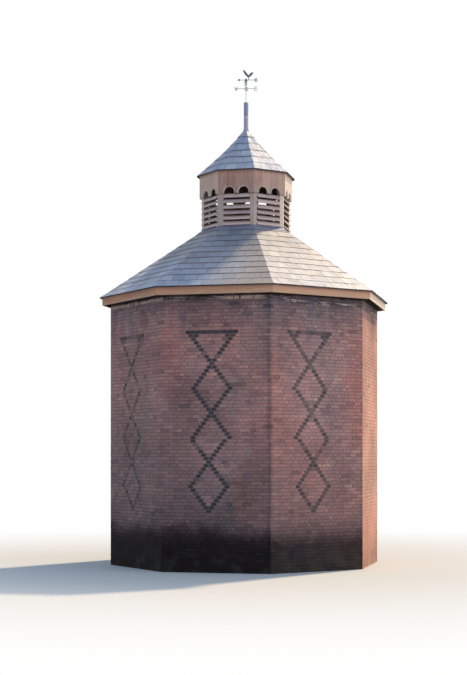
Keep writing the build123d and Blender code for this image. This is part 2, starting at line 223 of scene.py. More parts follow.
# Camera fitted to the photograph, and the photograph's frame
PHOTO_WIDTH, PHOTO_HEIGHT = 467, 675
CAMERA_DISTANCE = 33.36
CAMERA_HEIGHT = 2.513
CAMERA_TURN = math.radians(12.87)
FOCAL_PIXELS = 1429.3
AXIS_X, HORIZON_Y = 246.07, 455.36
SENSOR = 36.0

# Floor: how far it reaches, and between which distances it fades to white
FLOOR_REACH = 90.0
FLOOR_NEAR, FLOOR_FAR = 4.5, 17.0
FLOOR_COLOUR = (0.465, 0.468, 0.465, 1.0)
FLOOR_DROP = 0.001

# Light
WHITE = (1.0, 1.0, 1.0, 1.0)
SKY_COLOUR, SKY_STRENGTH = (0.74, 0.955, 1.25, 1.0), 0.72
LAMP_DISTANCE = 20


def placed(name, data):
    """A new object of the scene."""
    piece = bpy.data.objects.new(name, data)
    bpy.context.scene.collection.objects.link(piece)
    return piece


def turned(points, side):
    """Points made on the front, turned to another side."""
    c, s = math.cos(side * TURN), math.sin(side * TURN)
    return [(x * c - y * s, x * s + y * c, z) for x, y, z in points]


def mitre(x, apothem):
    """x kept inside the front side's share of the octagon."""
    limit = apothem * SPREAD
    return max(-limit, min(limit, x))


def front_ring(outline, apothem):
    """A flat outline of x and height set upright at an apothem, trimmed to the mitres."""
    return [(mitre(x, apothem), -apothem, z) for x, z in outline]


def rectangle(x_low, x_high, z_low, z_high):
    """Corners of a rectangle, anticlockwise seen from outside."""
    return [(x_low, z_low), (x_high, z_low), (x_high, z_high), (x_low, z_high)]


def neighbours(values):
    """Each value with the next one, round to the first."""
    return zip(values, values[1:] + values[:1])


def draws(piece, side=0):
    """The random draws of one piece."""
    return random.Random(SEEDS[piece] + side)


def spot(chance, spread):
    """A small random offset."""
    return chance.uniform(-spread, spread)


def share(value):
    """value kept between 0 and 1."""
    return min(1.0, max(0.0, value))


class Shell:
    """One piece: its faces with material numbers, its points with tones and grain places."""

    def __init__(self):
        self.points, self.faces, self.slots, self.tones, self.grains = [], [], [], [], []

    def add(self, rings, side=0, slots=0, tone=(0.5, 0.0, 0.5), grain=None):
        """A solid made on the front through rings, the outermost first, turned to a side.

        The grain is a list of places or a function of a point, or else the points themselves."""
        first, count = len(self.points), len(rings[0])
        points = [point for ring in rings for point in ring]
        faces = [range(count)]
        for level in range(0, len(points) - count, count):
            for corner, after in neighbours(list(range(level, level + count))):
                faces.append((corner, corner + count, after + count, after))
        faces.append(reversed(range(len(points) - count, len(points))))
        self.points.extend(turned(points, side))
        self.faces.extend([tuple(first + corner for corner in face) for face in faces])
        self.slots.extend([slots] * len(faces) if isinstance(slots, int) else slots)
        self.tones.extend([tone] * len(points))
        self.grains.extend([grain(*point) for point in points] if callable(grain) else grain or points)

    def make(self, name, materials, body="dovecote", bevel=0.0, smooth=None):
        mesh = bpy.data.meshes.new(name)
        mesh.from_pydata(self.points, [], self.faces)
        for material in materials:
            mesh.materials.append(material)
        mesh.polygons.foreach_set("material_index", self.slots)
        tone = mesh.attributes.new("tone", "FLOAT_COLOR", "POINT")
        tone.data.foreach_set("color", [value for t in self.tones for value in (*t, 1.0)])
        grain = mesh.attributes.new("grain", "FLOAT_VECTOR", "POINT")
        grain.data.foreach_set("vector", [value for g in self.grains for value in g])
        mesh.validate()
        piece = placed(name, mesh)
        if bevel:
            modifier = piece.modifiers.new("edges", "BEVEL")
            modifier.width = bevel
            modifier.segments = 2
            modifier.limit_method = "ANGLE"
            modifier.angle_limit = math.radians(40)
            modifier.use_clamp_overlap = True
        if smooth:
            mesh.shade_smooth()
            mesh.set_sharp_from_angle(angle=smooth)
        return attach(piece, body)


class Nodes:
    """A node tree and short ways to add and join its nodes."""

    def __init__(self, tree):
        self.nodes, self.links = tree.nodes, tree.links

    def add(self, kind, **inputs):
        node = self.nodes.new(kind)
        for name, value in inputs.items():
            self.put(node.inputs[name.replace("_", " ")], value)
        return node

    def put(self, socket, value):
        if isinstance(value, bpy.types.NodeSocket):
            self.links.new(value, socket)
        elif value is not None:
            socket.default_value = value

    def math(self, operation, first, second=None):
        node = self.nodes.new("ShaderNodeMath")
        node.operation = operation
        self.put(node.inputs[0], first)
        self.put(node.inputs[1], second)
        return node.outputs[0]

    def plus(self, first, second):
        return self.math("ADD", first, second)

    def times(self, product, *others):
        for other in others:
            product = self.math("MULTIPLY", product, other)
        return product

    def most(self, largest, *others):
        for other in others:
            largest = self.math("MAXIMUM", largest, other)
        return largest

    def length(self, vector):
        node = self.nodes.new("ShaderNodeVectorMath")
        node.operation = "LENGTH"
        self.put(node.inputs[0], vector)
        return node.outputs["Value"]

    def seen(self):
        """1 for the camera's rays and for those of reflections, 0 for the light."""
        path = self.add("ShaderNodeLightPath").outputs
        return self.most(path["Is Glossy Ray"], path["Is Transmission Ray"], path["Is Camera Ray"])

    def between(self, part, first, second):
        """Two shaders mixed."""
        node = self.add("ShaderNodeMixShader", Fac=part)
        self.links.new(first.outputs[0], node.inputs[1])
        self.links.new(second.outputs[0], node.inputs[2])
        return node.outputs[0]


class Shade(Nodes):
    """A material whose colour is built up in layers."""

    def __init__(self, name, roughness=0.8, metallic=0.0, specular=0.5):
        self.material = bpy.data.materials.new(name)
        self.material.use_nodes = True
        super().__init__(self.material.node_tree)
        self.shader = self.nodes["Principled BSDF"]
        self.shader.inputs["Roughness"].default_value = roughness
        self.shader.inputs["Metallic"].default_value = metallic
        self.shader.inputs["Specular IOR Level"].default_value = specular
        self.place = self.add("ShaderNodeTexCoord").outputs["Object"]

    def attribute(self, name):
        node = self.nodes.new("ShaderNodeAttribute")
        node.attribute_name = name
        return node.outputs["Vector"]

    def split(self, vector):
        return self.add("ShaderNodeSeparateXYZ", Vector=vector).outputs

    def noise(self, scale, detail=4.0, rough=0.55, vector=None, distort=0.0):
        """Noise with one scale, or with one for each axis."""
        vector = vector or self.place
        if isinstance(scale, tuple):
            vector = self.add("ShaderNodeMapping", Vector=vector, Scale=scale).outputs["Vector"]
            scale = 1.0
        return self.add(
            "ShaderNodeTexNoise", Vector=vector, Scale=scale, Detail=detail, Roughness=rough,
            Distortion=distort,
        ).outputs["Fac"]

    def rise(self, value, low, high, start=0.0, end=1.0):
        """value between low and high spread smoothly over start to end."""
        node = self.add(
            "ShaderNodeMapRange", Value=value, From_Min=low, From_Max=high, To_Min=start, To_Max=end,
        )
        node.interpolation_type = "SMOOTHSTEP"
        return node.outputs["Result"]

    def ramp(self, value, stops):
        node = self.add("ShaderNodeValToRGB", Fac=value)
        points = node.color_ramp.elements
        while len(points) < len(stops):
            points.new(0.5)
        for point, (place, colour) in zip(points, stops):
            point.position = place
            point.color = (*colour, 1.0)
        return node.outputs["Color"]

    def mix(self, part, first, second, blend="MIX"):
        node = self.nodes.new("ShaderNodeMix")
        node.data_type = "RGBA"
        node.blend_type = blend
        self.put(node.inputs[0], part)
        for socket, colour in ((node.inputs[6], first), (node.inputs[7], second)):
            self.put(socket, (*colour, 1.0) if isinstance(colour, tuple) else colour)
        return node.outputs[2]

    def cover(self, colour, other, *parts):
        """colour covered by another as far as the product of the parts."""
        return self.mix(self.times(*parts), colour, other)

    def tint(self, colour, by, *parts):
        """colour multiplied by another as far as the product of the parts."""
        return self.mix(self.times(*parts), colour, by, "MULTIPLY")

    def shade(self, colour, amount):
        """colour made lighter or darker by a number."""
        grey = self.add("ShaderNodeCombineColor", Red=amount, Green=amount, Blue=amount)
        return self.tint(colour, grey.outputs["Color"], 1.0)

    def finish(self, colour, height=None, depth=0.002, strength=0.6, rough=None):
        self.put(self.shader.inputs["Base Color"], colour)
        self.put(self.shader.inputs["Roughness"], rough)
        if height is not None:
            bump = self.add("ShaderNodeBump", Height=height, Strength=strength, Distance=depth)
            self.put(self.shader.inputs["Normal"], bump.outputs["Normal"])
        return self.material


def under_eaves(s, colour, front):
    """Crust with painted shade, broken lime and buff patches on the top courses, painted black shadow
    behind the eaves board.
    """
    across, deep, height = s.split(s.place)
    fallen = s.plus(height, s.rise(across, 1.15, 1.80, 0.0, 0.075))
    drift = s.times(s.noise((1.7, 1.7, 1.0), 4.0, 0.6), 0.10)
    # dark crust and painted shade on the top courses under the eaves
    crust_and_shade = s.rise(s.plus(fallen, drift), LIME_LOW + 0.01, LIME_LOW + 0.07)
    broken = s.rise(s.noise((5.0, 5.0, 34.0), 5.0, 0.7), 0.38, 0.62, 0.92, 0.35)
    colour = s.cover(colour, (0.060, 0.046, 0.055), crust_and_shade, broken)
    upper = s.rise(fallen, SOFFIT_DARK, SOFFIT_DARK - 0.015)
    band = s.times(s.rise(fallen, LIME_LOW, LIME_LOW + 0.015), upper)
    streaks = s.noise((2.2, 2.2, 26.0), 5.0, 0.65)
    colour = s.cover(colour, (0.42, 0.355, 0.355), band, s.rise(streaks, 0.53, 0.60), 0.80)
    low, high = BUFF_SPAN
    width = s.times(s.rise(across, low - 0.15, low + 0.1), s.rise(across, high + 0.06, high - 0.02))
    skew = s.times(s.plus(across, deep), -math.sqrt(0.5))
    front_left = s.rise(skew, WALL_OUTER - 0.05, WALL_OUTER, 0.0, 0.75)
    patches = s.most(s.times(width, front), front_left)
    colour = s.cover(colour, (0.46, 0.335, 0.280), band, patches, s.rise(streaks, 0.36, 0.46), 0.85)
    # dark upright streaks in the lime band
    dark_streaks = s.rise(s.noise((13.0, 13.0, 2.5), 4.0, 0.7), 0.54, 0.60)
    colour = s.cover(colour, (0.026, 0.018, 0.022), dark_streaks, band, 0.8)
    ragged = s.rise(s.noise((3.5, 3.5, 0.6), 5.0, 0.7), 0.35, 0.65, -0.032, 0.018)
    # painted black shadow, with soot, behind the eaves board
    soot_and_shade = s.rise(s.plus(height, ragged), SOFFIT_DARK - 0.012, SOFFIT_DARK + 0.006)
    return s.cover(colour, (0.018, 0.014, 0.016), soot_and_shade, 0.94)


def stain(s, colour, side, place, size, part, by):
    """One soft patch of another colour at a place and height on one wall."""
    middle = (place[0] + WALL_STEP * SIDES.index(side), -WALL_OUTER, place[1])
    scale = (size[0], 1.0, size[1])
    node = s.add("ShaderNodeMapping", Vector=s.attribute("grain"), Location=middle, Scale=scale)
    node.vector_type = "TEXTURE"
    edge = s.plus(s.length(node.outputs["Vector"]), s.times(s.noise(1.8, 6.0, 0.7), 2.6))
    return s.tint(colour, by, s.rise(edge, 2.75, 1.30), part)


def weather(s, colour, shade, sun_share=1.0):
    """Painted sunlight, broad patches and lime bloom, soot and painted shade below the eaves, damp and
    painted shadow at the foot.
    """
    across, deep, height = s.split(s.place)
    front = s.rise(deep, 0.05 - WALL_OUTER, -WALL_OUTER)
    # painted sunlight: the sunny sides lighter and warmer, with some drying
    sun = s.math("SUBTRACT", 1.0, shade)
    sunlit_dried = s.rise(height, 2.0, 4.8, 0.58 * sun_share, 0.50 * sun_share)
    colour = s.cover(colour, (0.560, 0.280, 0.174), sun, sunlit_dried)
    colour = s.shade(colour, s.rise(s.noise(0.7, 3.0, 0.5), 0.35, 0.68, 0.84, 1.10))
    red = s.rise(s.noise((0.45, 0.45, 0.315), 3.0, 0.5), 0.50, 0.66)
    colour = s.tint(colour, (1.06, 0.95, 0.91), red)
    grey = s.rise(s.noise((0.806, 0.806, 0.372), 4.0, 0.6), 0.52, 0.70)
    colour = s.tint(colour, (0.80, 0.93, 0.97), grey)
    bloom = s.rise(s.noise(1.3, 6.0, 0.7, distort=0.6), 0.56, 0.74)
    colour = s.cover(colour, (0.33, 0.285, 0.29), bloom, 0.24)
    for patch in STAINS:
        colour = stain(s, colour, *patch)
    # darker below the eaves: soot and painted shade, more on the shaded sides
    streak = s.noise((4.0, 4.0, 0.35), 4.0, 0.6)
    soot_and_shade = s.rise(s.plus(height, s.times(streak, -1.3)), 4.35, 5.25)
    colour = s.tint(colour, (0.30, 0.50, 0.62), soot_and_shade, s.rise(shade, 0.0, 1.0, 0.38, 0.62))
    corner = s.times(s.rise(across, 1.00, 1.18), front)
    colour = s.tint(colour, (0.68, 0.70, 0.76), corner, s.rise(streak, 0.35, 0.60))
    colour = under_eaves(s, colour, front)
    ragged = s.noise(1.9, 5.0, 0.65)
    damp_line = s.plus(height, s.times(ragged, 0.9))
    damp = s.rise(s.plus(damp_line, s.times(across, 0.45)), 3.9, 1.7)
    colour = s.tint(colour, (0.36, 0.55, 0.56), damp, s.rise(shade, 0.0, 1.0, 0.17, 0.42))
    level = s.plus(height, s.times(ragged, 0.55))
    # darker towards the foot on the shaded sides: damp with painted shade
    colour = s.tint(colour, (0.78, 0.80, 0.82), s.rise(level, 2.10, 1.40), shade)
    foot = s.rise(level, 1.42, 0.80)
    colour = s.tint(colour, (0.115, 0.118, 0.140), foot, s.rise(shade, 0.0, 1.0, 0.10, 0.96))
    # painted shadow at the foot of the front and front left walls
    left = s.times(s.rise(across, 1.22, 1.18), s.rise(deep, 1.2, -1.2))
    colour = s.tint(colour, (0.40, 0.35, 0.42), s.rise(level, 1.40, 0.98), left)
    moss = s.rise(s.noise(3.1, 4.0), 0.45, 0.65)
    return s.cover(colour, (0.060, 0.066, 0.040), s.rise(damp_line, 1.15, 0.55), moss, 0.30)


def brick_material():
    s = Shade("old_brick", 0.9, specular=0.25)
    tone, burnt, shade = s.split(s.attribute("tone"))
    colour = s.ramp(tone, [
        (0.0, (0.148, 0.083, 0.090)), (0.2, (0.218, 0.121, 0.129)), (0.42, (0.286, 0.158, 0.159)),
        (0.66, (0.340, 0.188, 0.174)), (0.85, (0.396, 0.228, 0.194)), (1.0, (0.462, 0.302, 0.254)),
    ])
    colour = s.shade(colour, s.rise(s.noise(26.0, 5.0, 0.65), 0.3, 0.7, 0.82, 1.16))
    crumbs = s.rise(s.noise(210.0, 2.0, 0.6), 0.60, 0.72)
    colour = s.cover(colour, (0.42, 0.30, 0.26), crumbs, 0.35)
    colour = weather(s, colour, shade)
    glaze = s.mix(s.rise(s.noise(40.0, 3.0), 0.4, 0.7), (0.017, 0.016, 0.023), (0.044, 0.041, 0.053))
    colour = s.cover(colour, glaze, burnt)
    grit = s.plus(s.noise(95.0, 5.0, 0.7), s.times(s.noise(14.0, 3.0), 0.8))
    return s.finish(colour, grit, 0.0035, 0.8, s.rise(burnt, 0.0, 1.0, 0.92, 0.72))


def mortar_material():
    s = Shade("lime_mortar", 0.95, specular=0.2)
    colour = s.mix(s.noise(7.0, 4.0), (0.085, 0.064, 0.066), (0.185, 0.142, 0.140))
    colour = weather(s, colour, s.split(s.attribute("tone"))[2], sun_share=0.8)
    return s.finish(colour, s.noise(150.0, 4.0, 0.7), 0.003, 0.9)


def slate_material():
    """Blue slate, stained and painted darker near the lantern, painted warmer as sunlit, with lichen, and
    dirt and painted shade under each tail.
    """
    s = Shade("blue_slate", 0.6, specular=0.9)
    tone, sunlit = s.split(s.attribute("tone"))[:2]
    colour = s.ramp(tone, [
        (0.0, (0.124, 0.159, 0.240)), (0.3, (0.168, 0.215, 0.313)), (0.55, (0.201, 0.251, 0.349)),
        (0.8, (0.244, 0.284, 0.360)), (1.0, (0.308, 0.328, 0.366)),
    ])
    colour = s.shade(colour, s.rise(s.noise(1.6, 5.0, 0.6), 0.3, 0.7, 0.86, 1.14))
    height = s.split(s.place)[2]
    # darker near the lantern: stains and painted shade
    below = s.rise(height, BOARD_FOOT, BOARD_FOOT - 0.1)
    soot_and_shade = s.times(s.rise(height, ROOF_TOP - 1.45, ROOF_TOP - 0.20), below)
    colour = s.shade(colour, s.rise(soot_and_shade, 0.0, 1.0, 1.0, 0.61))
    # the lantern's slates painted darker and bluer, painted shade
    colour = s.tint(colour, (0.82, 0.88, 0.97), s.rise(height, BOARD_FOOT - 0.1, BOARD_FOOT))
    purple = s.rise(s.noise(0.9, 3.0, 0.6), 0.48, 0.66)
    colour = s.cover(colour, (0.225, 0.195, 0.265), purple, 0.35)
    # painted sunlight, a warmer grey
    colour = s.cover(colour, (0.290, 0.230, 0.186), sunlit, 0.76)
    own_place = s.attribute("grain")
    riven = s.noise((9.0, 3.15, 9.0), 6.0, 0.65, own_place)
    colour = s.shade(colour, s.rise(riven, 0.3, 0.7, 0.9, 1.08))
    lichen = s.rise(s.noise(17.0, 5.0, 0.7), 0.60, 0.70)
    colour = s.cover(colour, (0.34, 0.33, 0.31), lichen, s.rise(s.noise(1.4, 3.0), 0.42, 0.62), 0.45)
    # dirt and painted shade on each slate just below the next tail
    grime_and_shade = s.rise(s.split(own_place)[1], SLATE_GAUGE - 0.060, SLATE_GAUGE - 0.006)
    colour = s.cover(colour, (0.052, 0.050, 0.066), grime_and_shade, 0.68)
    return s.finish(colour, riven, 0.004, 0.55, s.rise(riven, 0.3, 0.7, 0.55, 0.72))


def shaded_edge_material():
    """Dark edges, with soot and painted shade: slate tails and the fillet under them."""
    s = Shade("dark_edge", 0.75, specular=0.3)
    colour = s.mix(s.noise(8.0, 4.0), (0.030, 0.028, 0.035), (0.070, 0.062, 0.072))
    return s.finish(colour, s.noise(60.0, 4.0), 0.002, 0.6)


def lantern_shade(s, colour, sunlit_bleach, gloom):
    """Painted shade, with some soot, behind the line of the louvres and on faces turned to the middle, less
    on sunnier sides.
    """
    x, y = s.split(s.place)[:2]
    normal = s.split(s.add("ShaderNodeNewGeometry").outputs["True Normal"])
    outward = s.plus(s.times(x, normal[0]), s.times(y, normal[1]))
    x, y = s.math("ABSOLUTE", x), s.math("ABSOLUTE", y)
    apothem = s.most(x, y, s.times(s.plus(x, y), math.sqrt(0.5)))
    behind = s.rise(apothem, LANTERN_OUTER - 0.018, LANTERN_OUTER - 0.055)
    deep = s.most(behind, s.rise(outward, -0.1, -0.4))
    return s.cover(colour, (0.026, 0.018, 0.016), deep, s.rise(sunlit_bleach, 0.1, 1.0, gloom, gloom / 2))


def wood_material(
    name, dark, light, weathered, part=0.35, rings=28.0, own_grain=True, top_and_foot=None, gloom=0.80,
):
    """Sawn timber whose grain runs along the first grain axis, or upright where it has none of its own.

    Top and foot give two heights and the colours that the timber goes towards at its top and lower edge; on
    the eaves board the darker top is painted shade under the slates."""
    s = Shade(name, 0.8, specular=0.3)
    if own_grain:
        base, coarse, fine = s.attribute("grain"), (1.2, rings, rings), (6.0, 260.0, 260.0)
        tone, _, sunlit_bleach = s.split(s.attribute("tone"))
    else:
        base, coarse, fine = s.place, (rings, rings, 1.2), (260.0, 260.0, 6.0)
        tone, sunlit_bleach = s.noise(0.8, 2.0), None
    figure = s.noise(coarse, 5.0, 0.6, base, 1.2)
    fibre = s.noise(fine, 3.0, 0.7, base)
    colour = s.mix(s.rise(figure, 0.3, 0.7), dark, light)
    colour = s.shade(colour, s.rise(tone, 0.0, 1.0, 0.80, 1.20))
    colour = s.shade(colour, s.rise(fibre, 0.3, 0.7, 0.90, 1.08))
    colour = s.cover(colour, weathered, s.rise(s.noise(4.0, 5.0, 0.65), 0.38, 0.68), part)
    if top_and_foot:
        low, high, top, foot = top_and_foot
        tall = high - low
        level = s.plus(s.split(s.place)[2], s.times(s.noise(2.0, 4.0), 0.3 * tall))
        colour = s.cover(colour, top, s.rise(level, low + 0.55 * tall, low + 1.05 * tall), 0.45)
        colour = s.cover(colour, foot, s.rise(level, low + 0.50 * tall, low + 0.22 * tall), 0.55)
    if sunlit_bleach is not None:
        # the sunnier sides painted paler: painted sunlight with some bleaching
        colour = s.cover(colour, (0.68, 0.580, 0.465), sunlit_bleach, 0.65)
        colour = lantern_shade(s, colour, sunlit_bleach, gloom)
    return s.finish(colour, s.plus(figure, s.times(fibre, 0.6)), 0.0018, 0.6)


def lead_material():
    """Dull lead, bluish on cap and apron, greyer on the sleeve below the cap, a pale edge between."""
    s = Shade("old_lead", 0.6, 0.15, 0.4)
    patina = s.noise(9.0, 5.0, 0.6)
    colour = s.mix(s.rise(patina, 0.3, 0.7), (0.165, 0.182, 0.288), (0.236, 0.253, 0.372))
    height = s.split(s.place)[2]
    sleeve = s.rise(height, LEAD_JOINT + 0.01, LEAD_JOINT - 0.02)
    above_roof = s.rise(height, lantern_high.z - 0.3, lantern_high.z)
    colour = s.cover(colour, (0.310, 0.310, 0.370), sleeve, above_roof, 0.7)
    # darker on the apron at the lantern's foot: painted shade
    colour = s.cover(colour, (0.095, 0.098, 0.135), s.rise(height, CURB_TOP + 0.1, CURB_TOP), 0.5)
    edge = s.rise(height, LEAD_JOINT - 0.035, LEAD_JOINT - 0.01)
    colour = s.cover(colour, (0.46, 0.42, 0.50), edge, s.rise(height, LEAD_JOINT + 0.03, LEAD_JOINT), 0.7)
    streak = s.rise(s.noise((40.0, 40.0, 3.0), 4.0, 0.6), 0.5, 0.72)
    colour = s.cover(colour, (0.36, 0.37, 0.44), streak, 0.25)
    return s.finish(colour, s.noise(30.0, 4.0), 0.002, 0.5, s.rise(patina, 0.3, 0.7, 0.50, 0.68))


def iron_material():
    """Painted iron with rusty chips, painted paler on the compass arms, the letters and the arrow's ends,
    as against a bright sky.
    """
    s = Shade("painted_iron", 0.5, 0.4, 0.5)
    chips = s.rise(s.noise(38.0, 5.0, 0.7), 0.58, 0.66)
    paint = s.mix(s.noise(12.0, 3.0), (0.062, 0.068, 0.098), (0.105, 0.112, 0.150))
    x, y, height = s.split(s.place)
    apart = s.rise(s.most(s.math("ABSOLUTE", x), s.math("ABSOLUTE", y)), 0.155, 0.175)
    # painted light: the thin parts paler, as thin parts look against a bright sky
    sky_pale = s.most(s.rise(height, arms_high.z + 0.12, arms_high.z + 0.08), apart)
    paint = s.cover(paint, (0.43, 0.47, 0.47), sky_pale, s.rise(height, LEAD_JOINT, LEAD_JOINT + 0.1), 0.88)
    colour = s.cover(paint, (0.135, 0.070, 0.045), chips, 0.6)
    return s.finish(colour, s.noise(90.0, 4.0), 0.0008, 0.6, s.rise(chips, 0.0, 1.0, 0.45, 0.8))


def stone_material():
    s = Shade("worn_stone", 0.85, specular=0.3)
    colour = s.mix(s.noise(6.0, 6.0, 0.65), (0.28, 0.25, 0.21), (0.42, 0.38, 0.32))
    colour = s.cover(colour, (0.16, 0.15, 0.13), s.rise(s.noise(25.0, 4.0), 0.55, 0.7), 0.5)
    return s.finish(colour, s.noise(45.0, 5.0, 0.7), 0.004, 0.8)


def floor_brick_material():
    s = Shade("floor_brick", 0.9, specular=0.25)
    pattern = s.add(
        "ShaderNodeTexBrick", Vector=s.place, Scale=1.0,
        Color1=(0.24, 0.12, 0.09, 1.0), Color2=(0.31, 0.17, 0.12, 1.0), Mortar=(0.17, 0.15, 0.13, 1.0),
        Brick_Width=0.23, Row_Height=0.115, Mortar_Size=0.005,
    )
    colour = s.shade(pattern.outputs["Color"], s.rise(s.noise(5.0, 5.0), 0.3, 0.7, 0.75, 1.1))
    return s.finish(colour, s.noise(60.0, 4.0), 0.003, 0.6)


BRICK = brick_material()
MORTAR = mortar_material()
SLATE = slate_material()
SHADED_EDGE = shaded_edge_material()
BOARD = wood_material(
    "lantern_board", (0.272, 0.140, 0.112), (0.405, 0.258, 0.200), (0.33, 0.262, 0.238), 0.35,
    top_and_foot=(board_low.z, board_high.z, (0.52, 0.290, 0.235), (0.29, 0.222, 0.195)),
)
BOARD_RIM = wood_material("cut_rim", (0.36, 0.27, 0.22), (0.48, 0.38, 0.32), (0.40, 0.36, 0.33), 0.25)
LOUVRE = wood_material(
    "louvre_oak", (0.400, 0.275, 0.250), (0.565, 0.425, 0.385), (0.49, 0.43, 0.43), 0.50, gloom=0.66,
)
POST = wood_material("post_oak", (0.325, 0.215, 0.190), (0.475, 0.350, 0.310), (0.39, 0.37, 0.39), 0.55)
# The eaves board is darker at its top, painted shade under the slates.
FASCIA = wood_material(
    "eaves_board", (0.395, 0.196, 0.116), (0.530, 0.300, 0.186), (0.41, 0.29, 0.22), 0.30, 20.0,
    top_and_foot=(fascia_low.z, roof_low.z, (0.40, 0.210, 0.165), (0.42, 0.285, 0.195)),
)
DOOR = wood_material("door_board", (0.105, 0.082, 0.062), (0.190, 0.155, 0.120), (0.24, 0.22, 0.19), 0.45)
FRAME_OAK = wood_material(
    "frame_oak", (0.130, 0.098, 0.075), (0.215, 0.170, 0.130), (0.25, 0.23, 0.20), 0.4, own_grain=False,
)
RAFTER = wood_material(
    "roof_timber", (0.055, 0.038, 0.028), (0.115, 0.080, 0.056), (0.10, 0.085, 0.07), 0.4, own_grain=False,
)
LEAD = lead_material()
IRON = iron_material()
STONE = stone_material()
FLOOR_BRICK = floor_brick_material()

# Materials for the nodes whose own shape shows
CARRIED = {
    "door_lintel": FRAME_OAK, "door_threshold": STONE, "door_frame": FRAME_OAK, "door_straps": IRON,
    "ground_floor": FLOOR_BRICK, "wall_plate": RAFTER, "rafters": RAFTER, "hip_rafters": RAFTER,
    "lantern_curb": RAFTER, "lantern_apron": LEAD, "lantern_head": RAFTER, "lantern_hips": RAFTER,
    "finial_post": RAFTER, "lead_saddle": LEAD, "lead_cap": LEAD, "vane_spindle": IRON,
    "cardinal_arms": IRON, "vane_sleeve": IRON, "vane_arrow": IRON, "vane_bird": IRON,
}


def lay(start, end, below, chance):
    """Joints that fill a stretch of a course with stretchers and headers, kept off the joints below."""
    whole = int(end - start + 1e-6)
    if whole < 2:
        return [start, end]
    best = {0: (0.0, [start], 0)}
    for place in range(whole):
        if place not in best:
            continue
        cost, joints, last = best[place]
        for size, dear in BRICK_COST.items():
            after = place + size
            if after > whole:
                continue
            joint = start + after
            total = cost + dear + LUCK_COST * chance.random()
            total += REPEAT_COST if size == last else 0.0
            if after < whole and any(abs(joint - other) < JOINT_NEAR for other in below):
                total += JOINT_COST
            if after not in best or total < best[after][0]:
                best[after] = (total, joints + [joint], size)
    return best[whole][1][:-1] + [end]


def pattern_headers(course, side):
    """Middles of the burnt headers in one course, in quarter bricks from the left arris."""
    row = BAR_COURSE - course
    middles = PATTERN_MIDDLES.get(SIDES[side])
    if middles is None or row < 0 or row > BAR_REACH + 2 * DIAMOND_REACH * DIAMONDS:
        return []
    if row == 0:
        return [middles[0] + 2 * place - BAR_REACH for place in range(BAR_REACH + 1)]
    if row <= BAR_REACH:
        middle, reach = middles[0], BAR_REACH - row
    else:
        turn, step = divmod(row - BAR_REACH, 2 * DIAMOND_REACH)
        reach = step if step <= DIAMOND_REACH else 2 * DIAMOND_REACH - step
        turn = min(turn, DIAMONDS - 1) if step else turn
        middle = middles[turn] if step <= DIAMOND_REACH else middles[turn + 1]
    if reach == 0:
        return [middle]
    if row == 1:
        return [middle - reach, middle - reach + 2, middle + reach - 2, middle + reach]
    return [middle - reach, middle + reach]


def course_spans(z_middle, side):
    """Stretches of a course that are brick, round the doorway and its lintel at the back."""
    whole = (0.0, float(QUARTERS))
    if side != BACK or z_middle > lintel_high.z:
        return [whole]
    half = (lintel_high.x if z_middle > lintel_low.z else threshold_high.x) / QUARTER
    return [(0.0, QUARTERS / 2 - half), (QUARTERS / 2 + half, float(QUARTERS))]


def course_joints(course, side, below, chance):
    """Bricks of one course as (start, end, burnt), with quoins that turn the arris by turns."""
    left, right = (3, 1) if course % 2 == 0 else (1, 3)
    headers = pattern_headers(course, side)
    bricks = []
    for start, end in course_spans((course + 0.5) * COURSE, side):
        fixed = []
        if start == 0.0:
            fixed.append((start, float(left), False))
        fixed += [(m - 1.0, m + 1.0, True) for m in headers if start + left < m < end - right]
        if end == QUARTERS:
            fixed.append((end - right, end, False))
        place = start
        for low, high, burnt in [*sorted(fixed), (end, end, False)]:
            if low - place > SHORTEST:
                joints = lay(place, low, below, chance)
                bricks += [(a, b, False) for a, b in zip(joints, joints[1:])]
            if high > low:
                bricks.append((low, high, burnt))
            place = high
    return bricks


def wall_place(side):
    """A function that moves a point along, so that every wall has places of its own."""
    return lambda x, y, z: (x + WALL_STEP * side, y, z)


def brick_tone(side, course, start, end, burnt, chance):
    """Tone, how burnt and how shaded one brick is. Both faces of a quoin brick share the first two."""
    if start == 0.0 or end == QUARTERS:
        corner = side if start == 0.0 else (side + 1) % len(SIDES)
        chance = random.Random(QUOIN_SEED * corner + course)
    tone = share(chance.gauss(*BRICK_TONE))
    dark = 0.0
    if burnt:
        dark = chance.uniform(*BURNT.get(SIDES[side], BURNT_ELSEWHERE))
        dark *= 1.0 if chance.random() > PALE_HEADERS else PALE_HEADER
    elif chance.random() < ODD_BRICKS:
        dark = chance.uniform(*ODD_BRICK)
    return tone, dark, SHADE[side]


